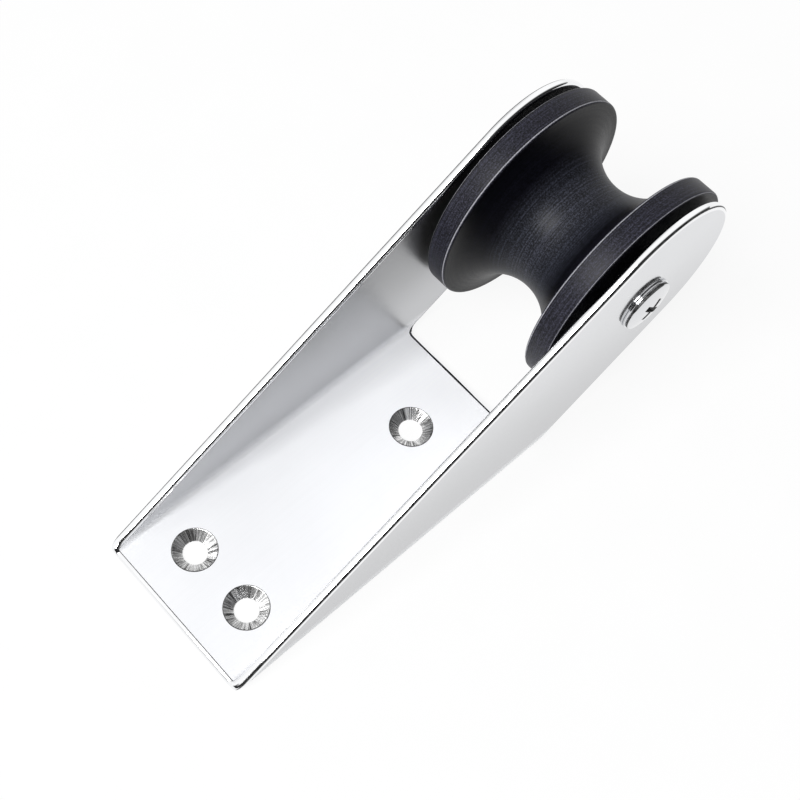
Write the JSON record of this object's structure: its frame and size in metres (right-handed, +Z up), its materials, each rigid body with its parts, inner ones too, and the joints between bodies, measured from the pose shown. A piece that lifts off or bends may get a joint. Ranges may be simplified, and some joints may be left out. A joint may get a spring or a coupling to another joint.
{
  "type": "bow roller",
  "caption": "Bow roller: a bent stainless channel that screws to a foredeck and carries a grooved nylon roller between its cheeks for an anchor rode to run over.",
  "frame": {"origin": "on the deck face, midway between the two rear deck-screw holes", "axes": "+X forward to the nose, +Y to port, +Z up from the deck; the axle is parallel to Y"},
  "size_m": [0.1935, 0.0735, 0.0895],
  "materials": {
    "polished_steel": "mirror-polished stainless steel",
    "black_nylon": "turned nylon, satin, with fine tool marks",
    "brushed_steel": "drawn stainless tube",
    "dark_plastic": "satin",
    "bolt_steel": "polished stainless steel",
    "blue_nylon": "satin"
  },
  "bodies": {
    "channel": {"bracket": "polished_steel", "axle_sleeve": "brushed_steel", "axle_bolt": "bolt_steel", "head_washer": "bolt_steel", "nut_washer": "bolt_steel", "lock_nut": "bolt_steel", "lock_nut_ring": "blue_nylon"},
    "roller": {"roller": "black_nylon"},
    "thrust_washer_port": {"thrust_washer_port": "dark_plastic"},
    "thrust_washer_starboard": {"thrust_washer_starboard": "dark_plastic"}
  },
  "joints": [
    {"name": "roller_spin", "type": "hinge", "parent": "channel", "child": "roller", "pos_m": [0.138, 0, 0.0525], "axis": [0, 1, 0], "continuous": true},
    {"name": "thrust_washer_port_spin", "type": "hinge", "parent": "channel", "child": "thrust_washer_port", "pos_m": [0.138, 0.02575, 0.0525], "axis": [0, 1, 0], "continuous": true},
    {"name": "thrust_washer_starboard_spin", "type": "hinge", "parent": "channel", "child": "thrust_washer_starboard", "pos_m": [0.138, -0.02575, 0.0525], "axis": [0, 1, 0], "continuous": true}
  ]
}
